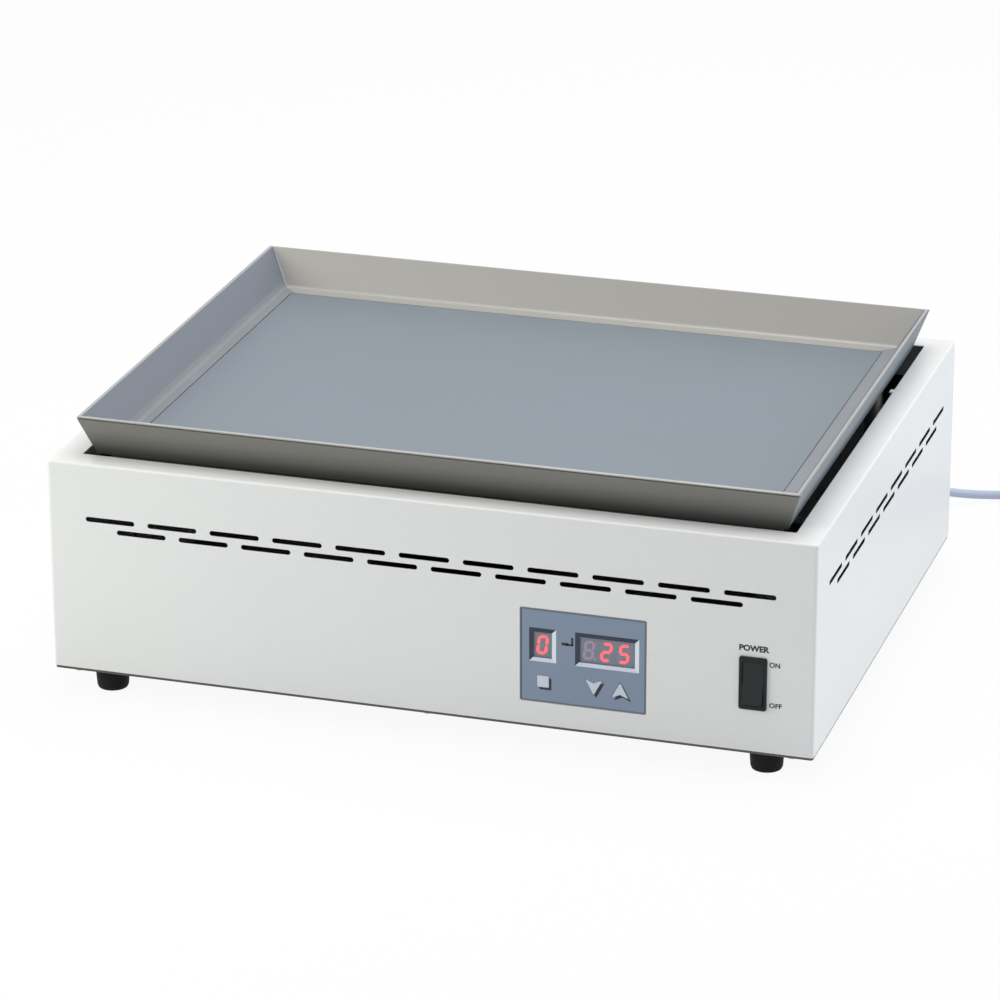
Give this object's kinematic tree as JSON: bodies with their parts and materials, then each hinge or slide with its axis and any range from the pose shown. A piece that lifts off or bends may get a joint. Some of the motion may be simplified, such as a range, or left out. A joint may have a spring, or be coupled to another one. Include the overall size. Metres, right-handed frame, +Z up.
{
  "type": "laboratory hot plate",
  "caption": "Bench-top laboratory hot plate: a low vented steel casing on rubber feet with a shallow flared metal tray, a digital control panel, a rocker switch and a mains cord.",
  "frame": {"origin": "on the bench under the middle of the casing's footprint", "axes": "+X to the right seen from the front, along the long side; +Y to the back; +Z up"},
  "size_m": [0.6877, 0.5597, 0.1984],
  "materials": {
    "casing_enamel": "off-white powder coat, satin",
    "base_zinc": "zinc-plated sheet, dull",
    "foot_rubber": "black moulded rubber, matte",
    "tray_aluminium": "bare aluminium sheet, satin",
    "plate_coating": "aluminium plate with a grey-blue hard coat, matte",
    "post_steel": "turned steel, satin",
    "ceramic": "glazed ceramic rings",
    "sheath_steel": "stainless sheath, heat-tinted",
    "seal_ceramic": "ceramic end seals",
    "cutout_body": "phenolic body",
    "fibre_blanket": "pressed mineral fibre, matte",
    "fascia_plastic": "grey-blue moulded plastic, satin",
    "module_plastic": "dark display face",
    "circuit_board": "green solder mask",
    "key_plastic": "pale blue-grey plastic, satin",
    "switch_plastic": "black moulded plastic",
    "rocker_plastic": "black moulded plastic, semi-gloss",
    "terminal_brass": "tinned brass",
    "transformer_core": "varnished laminations",
    "relay_plastic": "moulded case",
    "capacitor_sleeve": "shrink sleeve",
    "sink_aluminium": "extruded, bare",
    "block_plastic": "phenolic block",
    "cord_plastic": "pale blue-grey cable sheath, matte",
    "zinc_screws": "zinc-plated steel"
  },
  "bodies": {
    "housing": {"base_plate": "base_zinc", "base_screws": "zinc_screws", "board_capacitors": "capacitor_sleeve", "board_screws": "zinc_screws", "board_standoffs": "zinc_screws", "casing": "casing_enamel", "clamp_screws": "zinc_screws", "control_board": "circuit_board", "control_fascia": "fascia_plastic", "control_relay": "relay_plastic", "cord_coil": "cord_plastic", "cutout_screws": "zinc_screws", "digit_module_single": "module_plastic", "digit_module_triple": "module_plastic", "display_board": "circuit_board", "display_board_screws": "zinc_screws", "earth_screw": "zinc_screws", "element_clamps": "post_steel", "element_seals": "seal_ceramic", "fascia_nuts": "zinc_screws", "foot_back_left": "foot_rubber", "foot_back_right": "foot_rubber", "foot_front_left": "foot_rubber", "foot_front_right": "foot_rubber", "foot_nuts": "zinc_screws", "foot_screws": "zinc_screws", "heating_element": "sheath_steel", "heating_plate": "plate_coating", "insulation_blanket": "fibre_blanket", "insulation_pan": "base_zinc", "mains_cord": "cord_plastic", "plate_post_back_left": "post_steel", "plate_post_back_right": "post_steel", "plate_post_front_left": "post_steel", "plate_post_front_right": "post_steel", "plug_body": "cord_plastic", "plug_pins": "terminal_brass", "post_insulators": "ceramic", "post_screws": "zinc_screws", "push_switches": "switch_plastic", "relay_heat_sink": "sink_aluminium", "relay_screws": "zinc_screws", "solid_state_relay": "relay_plastic", "strain_relief": "cord_plastic", "switch_housing": "switch_plastic", "switch_terminals": "terminal_brass", "temperature_probe": "sheath_steel", "terminal_block": "block_plastic", "terminal_screws": "zinc_screws", "thermal_cutout": "cutout_body", "transformer": "transformer_core", "tray_frame": "tray_aluminium"},
    "rocker": {"rocker": "rocker_plastic"},
    "key_mode": {"key_mode": "key_plastic"},
    "key_down": {"key_down": "key_plastic"},
    "key_up": {"key_up": "key_plastic"}
  },
  "joints": [
    {"name": "rocker_tilt", "type": "hinge", "parent": "housing", "child": "rocker", "pos_m": [0.228, -0.2085, 0.068], "axis": [1, 0, 0], "range_deg": [0, 14]},
    {"name": "key_mode_press", "type": "slide", "parent": "housing", "child": "key_mode", "axis": [0, 1, 0], "range_m": [0, 0.0005], "stiffness_N_per_m": 800},
    {"name": "key_down_press", "type": "slide", "parent": "housing", "child": "key_down", "axis": [0, 1, 0], "range_m": [0, 0.0005], "stiffness_N_per_m": 800},
    {"name": "key_up_press", "type": "slide", "parent": "housing", "child": "key_up", "axis": [0, 1, 0], "range_m": [0, 0.0005], "stiffness_N_per_m": 800}
  ]
}
